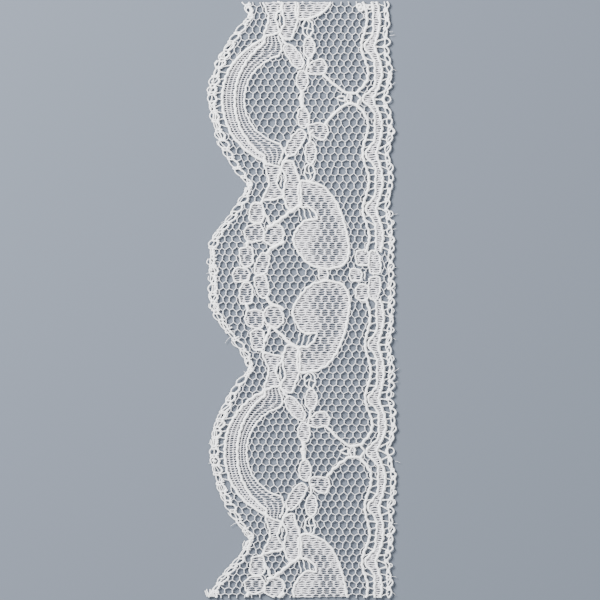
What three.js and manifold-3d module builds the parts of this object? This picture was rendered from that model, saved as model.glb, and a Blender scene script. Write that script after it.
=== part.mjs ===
// A cut length of white raschel lace edging, lying flat with its underside on z = 0.
// Millimetres, +Z up. X runs across the lace, from the scalloped picot edge (-X) to the straight
// heading (+X), and Y runs along it. The origin is under the middle of the strip.
//
// The lace is knitted in one piece, so it is one solid: a thin sheet with the lace's outline, and
// on it, in low relief, the motifs of dense clothwork and the thicker liner cords.
// The pattern mirrors at two kinds of lines across the strip: through the flowers and through the
// crescents. One half repeat is charted, as x across the lace and v along it, counted from the
// flower line (v = 0) to the crescent line (v = HALF).

import * as THREE from 'three';
import { mergeVertices } from 'three/addons/utils/BufferGeometryUtils.js';
import Module from 'manifold-3d';

// --- Driving dimensions -------------------------------------------------------------------------

const COURSE = 0.42;            // one row of stitches
const PICOT_PITCH = 4 * COURSE; // from loop to loop at both edges
const WIDTH = 35.7;             // over the loops of both edges
const LENGTH = 66 * PICOT_PITCH;
const SHEET = 1.0;              // height of the net, the least that a loose cloth is given
const CLOTHWORK = 1.25;         // height of the dense motifs
const CORD = 1.45;              // height of the liner cords
const CORD_WIDTH = 0.5;

const HALF = 78 * COURSE;       // half a pattern repeat
const REPEAT = 2 * HALF;
const FLOWER_LINE = 4.46;       // y of the flower line nearest the middle
const BOW_TOP = 1.1;            // how far the heading draws in at the +Y end
const BOW_BOTTOM = 0.55;        // and at the -Y end

// Scalloped edge: the line where the net ends, which the picots stand out from.
const NODE_V = 17.2;            // where two scallops meet
const SCALLOP_X = -15.95;       // at the middle of a scallop
const SCALLOP_DEPTH = 6.7;
const SCALLOP_POWER = 1.75;     // how it rises beside the crescent
const SCALLOP_FLAT = 0.248;     // share of it beside the flowers that stays flat
const PICOT_ROOT = 1.1;         // solid part of the edge outside that line
const PICOT_REACH = 0.8;        // how far the loops stand out further
const LOOP_ROUNDNESS = 0.6;     // 1 for a plain wave, less for rounder tips

// Straight edge.
const HEADING_X = 16.6;         // the chain that the lace is sewn on by
const HEADING_DRAW = 0.75;      // how far the band's nodes draw it in
const HEADING_ROOT = 17.1;
const HEADING_REACH = WIDTH / 2 - HEADING_ROOT;

// Wavy band beside the heading: its two sides and the liner cord beside it, halfway between the
// nodes at which they draw in together.
const BAND_WAVE = HALF / 3.25;
const BAND_START = 4.4;         // v where it comes out of the flower
const BAND_LEFT = 13.95;
const BAND_RIGHT = 15.25;
const LINER_X = 12.72;
const LEFT_DRAW = 1.8;
const RIGHT_DRAW = 1.15;
const LINER_DRAW = 1.1;
const POINT_DRAW_LEFT = 0.55;   // how much further at the point of the V
const POINT_DRAW_RIGHT = 0.5;
const LINER_END = 28.2;         // v where the liner cord turns off to the point of the V

// Leaves and petals: fullness 1 is an ellipse, under 1 squarer, over 1 more pointed. Taper makes
// one wider at its far end.
const LEAF_COLUMNS = ['x', 'v', 'length', 'width', 'angle', 'fullness', 'taper'];
const LEAVES = [
  [-8.2, 11.8, 4.2, 3.0, 86, 0.6, -0.10],     // spray beside the scallop, from the top down
  [-8.7, 8.0, 4.0, 3.7, 15, 0.7, 0.10],
  [-5.1, 7.6, 4.3, 3.8, 60, 0.8, -0.10],
  [-10.2, 3.4, 4.3, 3.0, 93, 0.7, 0.15],
  [-7.2, 2.1, 4.8, 2.8, 74, 0.75, -0.15],
  [-11.2, 0.0, 3.7, 3.0, 0, 0.7, 0.0],
  [1.5, 19.3, 3.5, 2.4, 90, 1.0, 0.0],        // chain beside the crescent
  [1.7, 22.9, 4.4, 2.6, 90, 1.1, 0.0],
  [-1.3, 24.6, 5.8, 2.8, 54, 0.8, 0.0],
  [3.1, 26.8, 4.5, 3.2, -18, 0.9, 0.30],
  [0.35, 29.2, 4.2, 2.7, 90, 1.0, 0.0],
  [0.1, HALF, 1.9, 1.2, 90, 1.0, 0.0],
  [3.85, 0.0, 2.6, 2.1, 90, 0.4, 0.0],        // between the two commas
  [13.6, 2.45, 4.9, 2.7, 95, 0.75, -0.20],    // flower in the band
  [11.3, 3.3, 3.4, 3.0, 92, 0.6, 0.0],
  [9.95, 0.0, 2.8, 2.8, 0, 0.6, 0.0],
  [9.2, HALF, 2.4, 1.9, 90, 0.8, 0.0],        // point of the V
];

// Pieces with outlines of their own, as [x, v] points. The waisted piece and the stem stand side
// by side between the crescent, the spray and the comma.
const WAISTED = [
  [-7.0, 20.8], [-5.4, 20.5], [-4.0, 20.0], [-4.3, 18.7], [-4.65, 17.5], [-4.3, 16.5],
  [-3.6, 15.8], [-3.55, 14.9], [-5.2, 14.5], [-7.1, 14.3], [-6.7, 15.6], [-6.05, 17.2],
  [-6.35, 18.8],
];
const STEM = [
  [-2.4, 21.4], [-3.3, 21.1], [-3.85, 20.2], [-3.3, 19.1], [-2.9, 18.3], [-3.2, 16.9],
  [-3.35, 15.3], [-3.1, 14.0], [-2.4, 12.6], [-1.2, 12.9], [-0.3, 13.4], [-0.2, 16.1],
  [-0.55, 18.4], [-1.2, 19.9], [-1.65, 21.2],
];
const COMMA = [
  [-0.5, 17.3], [1.6, 17.6], [4.3, 16.5], [6.3, 14.1], [7.7, 11.0], [8.5, 7.8], [8.8, 4.8],
  [8.0, 2.4], [6.3, 1.4], [3.8, 1.2], [1.5, 1.9], [-0.2, 3.7], [-1.65, 6.6], [-0.8, 9.1],
  [0.8, 10.6], [2.7, 10.7], [2.3, 12.0], [1.1, 13.0], [-0.4, 13.4],
];

// The crescent's arcs about points on the crescent line, with the ends that fan out from them.
const CRESCENT_OUTER = { centre: -2.4, radius: 12.3, reach: 11.3, ends: [[-6.9, 20.7]] };
const CRESCENT_MIDDLE = {
  centre: 0.55, radius: 13.0, reach: 10.6, ends: [[-6.6, 20.7], [-7.0, 21.6]],
};
const CRESCENT_INNER = {
  centre: -2.23, radius: 8.49, reach: 8.25, ends: [[-4.4, 20.75], [-3.9, 22.0], [-3.6, 23.2]],
};

// Cords that cross the net.
const CORDS = [
  [[4.5, 28.0], [7.2, 30.5], [8.7, 31.5], [9.6, 31.85]],            // side of the V
  [[12.65, LINER_END], [12.1, 29.7], [11.4, 30.6], [10.5, 31.4], [9.6, 31.85]],
  [[-0.3, 13.4], [-2.3, 12.1], [-4.4, 10.35], [-6.4, 9.1]],         // from the comma to the spray
  [[-7.0, 12.2], [-6.0, 10.2], [-5.7, 9.4]],                        // along the spray
  [[-3.3, 6.4], [-5.2, 5.4], [-6.5, 4.0]],
  [[-9.9, 6.6], [-10.1, 5.3]],
  [[-7.0, 14.4], [-8.2, 13.7]],
  [[0.3, 31.1], [0.1, HALF]],                                       // chain beside the crescent
  [[1.7, 24.9], [2.2, 26.9]],
];

const ROOT = 0.3;               // how deep the relief is sunk into the sheet
const OVERRUN = 0.1;            // how far what crosses a mirror line runs past it

// Fineness of the facets.
const LEAF_SIDES = 12;
const ARC_STEPS = 12;
const COMMA_SIDES = 28;
const PIECE_SIDES = 16;
const WAVE_STEP = 1.6;

// --- Helpers ------------------------------------------------------------------------------------

const wasm = await Module();
wasm.setup();

/** A table's row as an object with named values. */
const named = (columns, row) => Object.fromEntries(columns.map((key, i) => [key, row[i]]));

/** The closed solid of a geometry. */
function solidOf(geometry) {
  geometry.deleteAttribute('normal');
  geometry.deleteAttribute('uv');
  const merged = mergeVertices(geometry, 1e-5);
  return new wasm.Manifold(new wasm.Mesh({
    numProp: 3,
    vertProperties: new Float32Array(merged.attributes.position.array),
    triVerts: new Uint32Array(merged.index.array),
  }));
}

/** An upright prism on an outline of [x, y] points. */
function prism(outline, bottom, top) {
  const shape = new THREE.Shape(outline.map(([x, y]) => new THREE.Vector2(x, y)));
  const geometry = new THREE.ExtrudeGeometry(shape, { depth: top - bottom, bevelEnabled: false });
  geometry.translate(0, 0, bottom);
  return solidOf(geometry);
}

/** The outline of a strip of even width along a path of [x, v] points. */
function stripOutline(path, width) {
  const sides = [[], []];
  path.forEach(([x, v], i) => {
    const [x0, v0] = path[Math.max(i - 1, 0)];
    const [x1, v1] = path[Math.min(i + 1, path.length - 1)];
    const long = Math.hypot(x1 - x0, v1 - v0);
    const across = [-(v1 - v0) / long * width / 2, (x1 - x0) / long * width / 2];
    sides[0].push([x + across[0], v + across[1]]);
    sides[1].unshift([x - across[0], v - across[1]]);
  });
  return [...sides[0], ...sides[1]];
}

/** Evenly spaced numbers from a to b. */
const steps = (a, b, count) =>
  Array.from({ length: count + 1 }, (_, i) => a + (b - a) * i / count);

/** Distance along the half repeat, counted from the nearest flower line, of a place y. */
function chartV(y) {
  const turns = (y - FLOWER_LINE) / REPEAT;
  return Math.abs(turns - Math.round(turns)) * REPEAT;
}

/** A half sine that rises from 0 at t = 0 to 1 at t = 1 and stays there. */
const bulge = (t) => Math.sin(Math.PI / 2 * Math.min(1, t));

// --- Edges --------------------------------------------------------------------------------------

/** x of the line where the net ends at the scalloped edge. */
function scallopX(y) {
  const v = chartV(y);
  const flower = Math.max(0, v / NODE_V - SCALLOP_FLAT) / (1 - SCALLOP_FLAT);
  const crescent = (HALF - v) / (HALF - NODE_V);
  const rise = v < NODE_V ? Math.sin(Math.PI / 2 * flower) ** 2 : crescent ** SCALLOP_POWER;
  return SCALLOP_X + SCALLOP_DEPTH * rise;
}

/** How far a loop stands out at y, from 0 between two loops to 1 at its round tip. */
const loop = (y) => Math.abs(Math.cos(Math.PI * (y - FLOWER_LINE) / PICOT_PITCH)) ** LOOP_ROUNDNESS;

const picotEdgeX = (y) => scallopX(y) - PICOT_ROOT - PICOT_REACH * loop(y);
const headingEdgeX = (y) => HEADING_ROOT + HEADING_REACH * loop(y);

/** How far v is from the band's nearest node: 0 at the node and 1 halfway to the next. */
function fromNode(v) {
  const turns = (HALF - v) / BAND_WAVE;
  return 2 * Math.abs(turns - Math.round(turns));
}

/** x of the chain at the straight edge, which swings with the band above its first node. */
function headingX(y) {
  const v = chartV(y);
  const swings = v > HALF - 2.5 * BAND_WAVE;
  return HEADING_X - (swings ? HEADING_DRAW * (1 - bulge(fromNode(v))) : 0);
}

/** y of every course of the length, and of its two cut ends. */
function courses() {
  const end = LENGTH / 2;
  const first = Math.ceil((-end - FLOWER_LINE) / COURSE);
  const last = Math.floor((end - FLOWER_LINE) / COURSE);
  const inside = steps(first, last, last - first).map((course) => FLOWER_LINE + course * COURSE);
  return [-end, ...inside, end];
}

/** The lace's outline, with its two straight cuts. */
const stripEdge = () => [
  ...courses().map((y) => [headingEdgeX(y), y]),
  ...courses().reverse().map((y) => [picotEdgeX(y), y]),
];

// --- Motifs, as outlines in the chart -------------------------------------------------------------

/** A leaf: a long oval whose sides are filled out or drawn in by its fullness. */
function leafOutline({ x, v, length, width, angle, fullness, taper }) {
  const turn = THREE.MathUtils.degToRad(angle);
  const blunt = Math.min(1, fullness);
  return steps(0, 2 * Math.PI, LEAF_SIDES).slice(0, -1).map((phase) => {
    const cos = Math.cos(phase);
    const sin = Math.sin(phase);
    const along = Math.sign(cos) * Math.abs(cos) ** blunt * length / 2;
    const across = Math.sign(sin) * Math.abs(sin) ** fullness * width / 2 * (1 + taper * cos);
    return [
      x + along * Math.cos(turn) - across * Math.sin(turn),
      v + along * Math.sin(turn) + across * Math.cos(turn),
    ];
  });
}

/** A smooth closed line through a few points. */
function drawnOutline(points, sides) {
  const line = new THREE.CatmullRomCurve3(
    points.map(([x, v]) => new THREE.Vector3(x, v, 0)), true, 'centripetal');
  return line.getSpacedPoints(sides).slice(0, -1).map(({ x, y }) => [x, y]);
}

/** A line of the crescent, from its end to where it runs a little past the crescent line. */
function crescentLine({ centre, radius, reach, ends }) {
  const limit = Math.asin(reach / radius);
  const arc = steps(-limit, Math.asin(OVERRUN / radius), ARC_STEPS).map((angle) =>
    [centre - radius * Math.cos(angle), HALF + radius * Math.sin(angle)]);
  return [...ends, ...arc];
}

/** The half of the crescent on this side of the crescent line. */
const crescentOutline = () => [
  ...crescentLine(CRESCENT_OUTER),
  ...crescentLine(CRESCENT_INNER).reverse(),
];

const leftSide = (v) => {
  const draw = LEFT_DRAW + (v > HALF - BAND_WAVE / 2 ? POINT_DRAW_LEFT : 0);
  return BAND_LEFT - draw * (1 - bulge(fromNode(v) / 0.6) ** 1.6);
};
const rightSide = (v) => {
  const draw = RIGHT_DRAW + (v > HALF - BAND_WAVE / 2 ? POINT_DRAW_RIGHT : 0);
  return BAND_RIGHT - draw * (1 - bulge(fromNode(v)) ** 1.2);
};
const linerX = (v) => LINER_X - LINER_DRAW * (0.5 + 0.5 * Math.cos(Math.PI * fromNode(v)));

/** A line that runs beside the heading, up to v = end. */
const bandLine = (side, end) =>
  steps(BAND_START, end, Math.round((end - BAND_START) / WAVE_STEP)).map((v) => [side(v), v]);

/** Every raised outline of the half repeat, with its height. */
function halfRepeat() {
  const left = bandLine(leftSide, HALF + OVERRUN);
  const right = bandLine(rightSide, HALF + OVERRUN);
  const cloth = [
    ...LEAVES.map((row) => leafOutline(named(LEAF_COLUMNS, row))),
    drawnOutline(WAISTED, PIECE_SIDES),
    drawnOutline(STEM, PIECE_SIDES),
    drawnOutline(COMMA, COMMA_SIDES),
    crescentOutline(),
    [...left, ...right.reverse()],
  ];
  const lines = [bandLine(linerX, LINER_END), crescentLine(CRESCENT_MIDDLE), ...CORDS];
  const cords = lines.map((path) => stripOutline(path, CORD_WIDTH));
  return [
    ...cloth.map((outline) => ({ outline, top: CLOTHWORK })),
    ...cords.map((outline) => ({ outline, top: CORD })),
  ];
}

// --- The lace -----------------------------------------------------------------------------------

/** The half repeats that show in this length: their flower line's y and their direction. */
const HALVES = [
  { line: FLOWER_LINE + REPEAT, side: -1 },
  { line: FLOWER_LINE, side: 1 },
  { line: FLOWER_LINE, side: -1 },
  { line: FLOWER_LINE - REPEAT, side: 1 },
];

/** The relief of the whole length, cut off at the two ends. */
function relief() {
  const raised = HALVES.flatMap(({ line, side }) => halfRepeat().map(({ outline, top }) => {
    const placed = outline.map(([x, v]) => [x, line + side * v]);
    return prism(placed, SHEET - ROOT, top);
  }));
  const end = LENGTH / 2;
  const edges = [
    steps(-end, end, Math.round(LENGTH / WAVE_STEP)).map((y) => [scallopX(y), y]),
    steps(-end, end, Math.round(LENGTH / WAVE_STEP)).map((y) => [headingX(y), y]),
  ].map((path) => prism(stripOutline(path, CORD_WIDTH), SHEET - ROOT, CORD));
  const room = prism([[-WIDTH, -end], [WIDTH, -end], [WIDTH, end], [-WIDTH, end]], 0, 2 * CORD);
  return [...raised, ...edges].reduce((all, piece) => all.add(piece)).intersect(room);
}

/** The heading is bowed: it draws in towards the two ends, and the picot edge hardly does. */
function bow(position) {
  for (let i = 0; i < position.count; i += 1) {
    const x = position.getX(i);
    const along = position.getY(i) / (LENGTH / 2);
    const across = (x + WIDTH / 2) / WIDTH;
    const draw = along > 0 ? BOW_TOP : BOW_BOTTOM;
    position.setX(i, x - draw * along ** 2 * across ** 2);
  }
}

/** The knitted strip as one solid. */
function laceMesh() {
  const { vertProperties, triVerts } = prism(stripEdge(), 0, SHEET).add(relief()).getMesh();
  const geometry = new THREE.BufferGeometry();
  geometry.setAttribute('position', new THREE.BufferAttribute(vertProperties, 3));
  geometry.setIndex(new THREE.BufferAttribute(triVerts, 1));
  bow(geometry.attributes.position);
  geometry.computeVertexNormals();
  const yarn = new THREE.MeshStandardMaterial({ color: 0xf1f1f4, roughness: 0.75, metalness: 0 });
  const mesh = new THREE.Mesh(geometry, yarn);
  mesh.name = 'lace';
  return mesh;
}

const group = new THREE.Group();
group.add(laceMesh());

export default group;
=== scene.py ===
"""The looks of a cut length of white raschel lace edging: its threads as meshes, laid on a floor.

Lengths are in millimetres until a mesh is made. x runs across the lace, from the scalloped picot
edge to the straight heading, and y along it. The pattern mirrors at lines across the strip,
through the flowers and through the crescents. One half repeat is charted, as x and as v, counted
from the flower line (v = 0) to the crescent line (v = HALF).
"""
import math
from collections import namedtuple

import bpy
import numpy as np
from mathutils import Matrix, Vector


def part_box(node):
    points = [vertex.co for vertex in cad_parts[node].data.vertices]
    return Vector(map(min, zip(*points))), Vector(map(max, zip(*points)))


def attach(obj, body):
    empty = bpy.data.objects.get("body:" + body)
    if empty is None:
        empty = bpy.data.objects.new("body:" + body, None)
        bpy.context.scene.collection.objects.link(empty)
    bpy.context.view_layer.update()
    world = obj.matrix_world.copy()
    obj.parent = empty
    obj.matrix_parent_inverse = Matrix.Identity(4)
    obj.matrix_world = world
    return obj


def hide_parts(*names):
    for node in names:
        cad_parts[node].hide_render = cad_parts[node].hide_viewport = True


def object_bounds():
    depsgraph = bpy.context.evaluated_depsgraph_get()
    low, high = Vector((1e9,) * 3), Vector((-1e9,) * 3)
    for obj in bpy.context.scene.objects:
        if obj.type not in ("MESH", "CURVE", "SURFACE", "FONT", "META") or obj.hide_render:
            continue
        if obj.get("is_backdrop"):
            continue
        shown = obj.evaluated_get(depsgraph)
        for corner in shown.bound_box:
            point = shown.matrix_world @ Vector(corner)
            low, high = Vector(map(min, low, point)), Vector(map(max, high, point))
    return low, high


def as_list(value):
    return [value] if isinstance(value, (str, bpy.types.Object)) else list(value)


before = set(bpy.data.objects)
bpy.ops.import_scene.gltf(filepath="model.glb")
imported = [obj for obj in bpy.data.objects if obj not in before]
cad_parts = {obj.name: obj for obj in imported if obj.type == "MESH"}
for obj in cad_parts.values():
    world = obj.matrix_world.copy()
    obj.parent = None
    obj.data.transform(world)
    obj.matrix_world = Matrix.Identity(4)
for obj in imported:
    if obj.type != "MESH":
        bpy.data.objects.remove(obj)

CAD_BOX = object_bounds()
LOW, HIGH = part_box("lace")
MM = 0.001
TAU = 2 * np.pi
WIDTH = (HIGH.x - LOW.x) / MM
LENGTH = (HIGH.y - LOW.y) / MM
END = LENGTH / 2
random = np.random.default_rng(18)

# --- The knitting ---

COURSE = 0.42  # one row of stitches
WALE = 1.411  # one needle
NEEDLE_X = 16.2  # the last needle's place
MESH_ROW = 3 * COURSE  # one row of net meshes
PICOT = 4 * COURSE  # from loop to loop at both edges
HALF = 78 * COURSE
REPEAT = 2 * HALF
FLOWER_LINE = 4.46  # y of the flower line nearest the middle
BOW = (1.1, 0.55)  # how far the heading draws in at the top and the bottom
SWAY = (0.35, -31.0, 13.0)  # a shift sideways: how far, at which y, and over what length

NODE_V = 17.2  # where two scallops meet
SCALLOP_X = -15.95
SCALLOP_DEPTH = 6.7
SCALLOP_POWER = 1.75  # how it rises beside the crescent
SCALLOP_FLAT = 0.248  # share of it beside the flowers that stays flat
PICOT_TIP = 1.6  # from the scallop's line to the tips of its loops
HEADING_X = 16.6
HEADING_DRAW = 0.65  # how far the band's nodes draw it in
HEADING_LOOP = 17.4  # where its loops end
HAIRS = 24  # broken fibre ends

BAND_WAVE = HALF / 3.25  # from node to node of the band beside the heading
BAND_START = 4.4
BAND_LEFT = 13.95  # its two cords and the liner beside it, halfway between nodes
BAND_RIGHT = 15.25
LINER_X = 12.72
LEFT_DRAW = 1.8  # how far a node draws them in
RIGHT_DRAW = 1.15
LINER_DRAW = 1.1
POINT_DRAW = (0.55, 0.5, 0.4)  # and how much further at the V: the cords and the heading
LINER_END = 28.2  # v where the liner turns off to the point of the V
# Knots at the top end: x, how far below the cut, and thickness.
KNOTS = ((11.2, 0.8, 0.5), (11.5, 1.3, 0.45), (12.4, 1.1, 0.4), (13.3, 1.0, 0.35))

# Heights of the threads' middles, and their thickness.
NET_Z = 0.24
WEFT_Z = 0.22
PILLAR_Z = 0.3
CORD_Z = 0.32
NET_YARN = (0.12, 0.46)  # width and height where it runs single
NET_PLY = (0.11, 0.4)  # and where two are twisted round each other
PLY_RADIUS = 0.05
WEFT = 0.34  # a weft spread flat
WEFT_HEIGHT = 0.2
WEFT_STEP = 0.125
EYELET = 0.29  # height of an open eyelet between two wefts
PILLAR = (0.128, 0.12)  # width and height
OUTLINE = 0.32
CRESCENT_CORDS = (0.5, 0.5, 0.34, 0.34)  # outer, middle, inner and the inner one's end
BAND_CORDS = (0.48, 0.42, 0.46)  # the liner, and the band's left and right cords
CORD = 0.46  # the usual liner cord
CORD_STEP = 0.16  # between its points
CORD_TWIST = 0.95  # length of one turn
PLIES = 2
PLY_GROOVE = 0.16  # how deep the plies are marked
WAVER = 0.08  # how far the meshes pull a cord to and fro
LIFT = 0.04  # how far the lace lifts off the floor, and how much that varies

# --- The chart ---

# taper makes a leaf wider at its far end. open says how far the wefts in its middle stand apart,
# from 0, closed, to 1.
Leaf = namedtuple("Leaf", "x v length width angle fullness taper open", defaults=[0.0])
LEAVES = [Leaf(*row) for row in (
    (-8.2, 11.8, 4.2, 3.0, 86, 0.6, -0.1, 0.8),  # spray beside the scallop, from the top down
    (-8.7, 8.0, 4.0, 3.7, 15, 0.7, 0.1, 1.0),
    (-5.1, 7.6, 4.3, 3.8, 60, 0.8, -0.1, 0.7),
    (-10.2, 3.4, 4.3, 3.0, 93, 0.7, 0.15, 1.0),
    (-7.2, 2.1, 4.8, 2.8, 74, 0.75, -0.15, 0.8),
    (-11.2, 0.0, 3.7, 3.0, 0, 0.7, 0.0, 1.0),
    (1.7, 22.9, 4.4, 2.6, 90, 1.1, 0.0, 0.4),  # chain beside the crescent
    (-1.3, 24.6, 5.8, 2.8, 54, 0.8, 0.0, 0.3),
    (3.1, 26.8, 4.5, 3.2, -18, 0.9, 0.3, 0.9),
    (0.35, 29.2, 4.2, 2.7, 90, 1.0, 0.0, 0.5),
    (0.1, HALF, 1.9, 1.2, 90, 1.0, 0.0, 0.0),
    (3.85, 0.0, 2.6, 2.1, 90, 0.4, 0.0, 0.7),  # between the two commas
    (13.6, 2.45, 4.9, 2.7, 95, 0.75, -0.2, 0.2),  # flower in the band
    (11.3, 3.3, 3.4, 3.0, 92, 0.6, 0.0, 0.6),
    (9.95, 0.0, 2.8, 2.8, 0, 0.6, 0.0, 0.7),
    (9.1, HALF, 2.3, 1.35, 90, 0.9, 0.0, 0.7),  # point of the V
)]

# Rings: leaves with no clothwork.
RINGS = [Leaf(1.5, 19.3, 3.5, 2.4, 90, 1.0, 0.0), Leaf(7.65, HALF, 2.0, 1.3, 0, 0.9, 0.7)]

FINE_THREAD = 0.2
FINE_THREADS = (  # across a ring and a notch, as x and v
    ((1.2, 17.8), (1.75, 18.7), (1.3, 19.7), (1.6, 20.8)),
    ((0.5, 19.5), (1.4, 19.2), (2.5, 19.6)),
    ((-0.9, 12.7), (-0.6, 12.1), (-0.2, 10.4)),
    ((0.1, 13.2), (0.3, 12.0), (0.7, 10.5)),
    ((1.0, 13.0), (1.3, 11.9), (1.8, 10.6)),
)

# Gaps left by net and clothwork alike: x, v, and half the width and height.
EYES = ((10.4, HALF, 0.8, 1.0), (11.7, 0.0, 0.95, 0.75), (-6.2, 8.2, 0.45, 0.55),
        (-2.4, 22.0, 0.5, 0.42), (-3.85, 17.6, 0.5, 0.85), (0.55, 11.75, 1.6, 0.95))

# Pieces with outlines of their own, as x and v.
WAISTED = (
    (-7.0, 20.8), (-5.4, 20.5), (-4.0, 20.0), (-4.3, 18.7), (-4.65, 17.5), (-4.3, 16.5), (-3.6, 15.8),
    (-3.55, 14.9), (-5.2, 14.5), (-7.1, 14.3), (-6.7, 15.6), (-6.05, 17.2), (-6.35, 18.8),
)
STEM = (
    (-2.4, 21.4), (-3.3, 21.1), (-3.85, 20.2), (-3.3, 19.1), (-2.9, 18.3), (-3.2, 16.9), (-3.35, 15.3),
    (-3.1, 14.0), (-2.4, 12.6), (-1.2, 12.9), (-0.3, 13.4), (-0.2, 16.1), (-0.55, 18.4), (-1.2, 19.9),
    (-1.65, 21.2),
)

# Arcs of the crescent, about points on the crescent line, with the ends that fan out from them.
Arc = namedtuple("Arc", "centre radius reach")
CRESCENT_OUTER = Arc(-2.4, 12.3, 11.3)
CRESCENT_MIDDLE = Arc(0.55, 13.0, 10.6)
CRESCENT_INNER = Arc(-2.23, 8.49, 8.25)
OUTER_END = ((-6.9, 20.7),)
MIDDLE_END = ((-6.6, 20.7), (-7.0, 21.6))
INNER_END = ((-4.4, 20.75), (-3.9, 22.0), (-3.6, 23.2))
FAN_V = 23.6  # where the inner band opens into its fan
NARROWS = 6.3  # how far the crescent runs one mesh away from the scalloped edge

# From the top of its stem round the bulb and back up the notch.
COMMA = (
    (-0.5, 17.3), (1.6, 17.6), (4.3, 16.5), (6.3, 14.1), (7.7, 11.0), (8.5, 7.8), (8.8, 4.8),
    (8.0, 2.4), (6.3, 1.4), (3.8, 1.2), (1.5, 1.9), (-0.2, 3.7), (-1.65, 6.6), (-0.8, 9.1),
    (0.8, 10.6), (2.7, 10.7), (2.3, 12.0), (1.1, 13.0), (-0.4, 13.4),
)
# Where its wefts stand apart: x, v, and half the width and height.
COMMA_OPEN = (
    (1.0, 14.6, 1.9, 1.8), (3.5, 12.5, 2.4, 2.8), (5.2, 9.2, 2.5, 3.4), (4.7, 5.2, 4.0, 4.2),
)

# How open the clothwork of these pieces is, and the width of their cords.
OPEN_PIECES = ((WAISTED, 0.5), (STEM, 0.55))
CORDED_PIECES = ((WAISTED, 0.4), (STEM, 0.42), (COMMA, 0.44))
BAND_OPEN = 0.3

# Cords that cross the net: their width, then x and v.
CORDS = (
    (0.52, (4.5, 28.0), (5.6, 29.3), (7.1, 30.65), (8.6, 31.65), (9.6, 31.72), (10.5, 31.5),
     (11.35, 30.7), (12.2, 29.6), (12.55, 28.9), (12.65, 28.2)),
    (0.42, (10.5, 31.5), (11.3, HALF)),
    (0.6, (-0.3, 13.4), (-2.3, 12.1), (-3.4, 11.15), (-4.4, 10.35), (-5.3, 9.6), (-6.4, 9.1)),
    (0.42, (-3.9, 20.4), (-3.3, 21.6), (-2.5, 22.5)),
    (0.22, (-3.8, 18.7), (-3.9, 16.8)),
    (0.5, (-7.0, 14.4), (-7.5, 13.7), (-8.2, 13.7)),
    (0.52, (-7.0, 12.2), (-6.4, 11.2), (-6.0, 10.2), (-5.7, 9.4)),
    (0.6, (-3.3, 6.4), (-3.9, 5.9), (-5.2, 5.4), (-6.0, 4.7), (-6.5, 4.0)),
    (0.6, (-9.9, 6.6), (-10.1, 5.3)),
    (0.7, (0.3, 31.1), (0.1, HALF)),
    (0.24, (11.7, 0.0), (11.75, 0.8)),
    (0.44, (1.7, 24.9), (1.5, 26.2), (2.2, 26.9)),
)

# --- Clothwork and net ---

PINHOLES = 0.34  # share of eyelets that are round in closed clothwork; the others are slits
SLIT = 0.5  # how far a slit gapes
# Half the length of eyelets, in meshes: slits, those between curved pillars, and round ones. The
# last two have a least, and what their draw, openness and the middle course of a row add.
SLIT_HALF = 0.36
CURVED_HALF = (0.34, 0.12)
ROUND_HALF = (0.16, 0.06, 0.2, 0.05)
EYE_END = 0.12  # how much of a mesh an eyelet takes to close
SPOT_FADE = 2.4  # how fast clothwork closes towards the rim of an open spot
LEAF_FADE = 3.0
LEAF_RIM = 0.95  # and the share of a leaf's size at which it is closed
SHORTEST = 0.25  # shorter wefts are left out
RIPPLE = 0.05  # how far wefts wave up and down along a course

NET_SCATTER = 0.1  # unevenness of the net before and after its threads draw it even
NET_UNEVEN = 0.07
HALVINGS = 12  # to find where a side leaves the net
EASINGS = 6  # steps in which it is drawn even
TURN_STEPS = 4  # of two yarns round each other

# --- Small tools ---


def columns(*parts):
    """An array of these columns."""
    return np.column_stack(parts)


def chart_v(y):
    """Distance of y from the nearest flower line."""
    turns = (y - FLOWER_LINE) / REPEAT
    return np.abs(turns - np.round(turns)) * REPEAT


def scallop_x(y):
    """Where the net ends at the scalloped edge."""
    v = chart_v(y)
    flower = np.clip(v / NODE_V - SCALLOP_FLAT, 0, 1 - SCALLOP_FLAT) / (1 - SCALLOP_FLAT)
    crescent = np.clip((HALF - v) / (HALF - NODE_V), 0, 1)
    rise = np.where(v < NODE_V, np.sin(np.pi / 2 * flower) ** 2, crescent**SCALLOP_POWER)
    return SCALLOP_X + SCALLOP_DEPTH * rise


def from_node(v):
    """How far along the band the nearest node is, up to 1 halfway, and whether it faces the V."""
    turns = (HALF - v) / BAND_WAVE
    return 2 * np.abs(turns - np.round(turns)), np.round(turns) == 0


def heading_x(y):
    """The middle of the chain at the straight edge."""
    v = chart_v(y)
    off, at_point = from_node(v)
    draw = (HEADING_DRAW + POINT_DRAW[2] * at_point) * (1 - bulge(off))
    return HEADING_X - np.where(v > HALF - 2.5 * BAND_WAVE, draw, 0)


def band(v):
    """x of the liner cord and of the band's left and right cords."""
    off, at_point = from_node(v)
    left_draw = (LEFT_DRAW + POINT_DRAW[0] * at_point) * (1 - bulge(off / 0.6) ** 1.6)
    right_draw = (RIGHT_DRAW + POINT_DRAW[1] * at_point) * (1 - bulge(off) ** 1.2)
    liner_draw = LINER_DRAW * (0.5 + 0.5 * np.cos(np.pi * off))
    return LINER_X - liner_draw, BAND_LEFT - left_draw, BAND_RIGHT - right_draw


def bulge(t):
    """A half sine that rises from 0 to 1 at t = 1 and stays there."""
    return np.sin(np.pi / 2 * np.minimum(1, t))


def resample(path, step, closed=False):
    """Points a step apart along a path."""
    path = np.asarray(path, float)
    if closed:
        path = np.vstack([path, path[:1]])
    run = np.concatenate([[0], np.cumsum(np.linalg.norm(np.diff(path, axis=0), axis=1))])
    count = max(2, round(run[-1] / step))
    at = np.linspace(0, run[-1], count + 1)
    points = columns(*[np.interp(at, run, column) for column in path.T])
    return points[:-1] if closed else points


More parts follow.
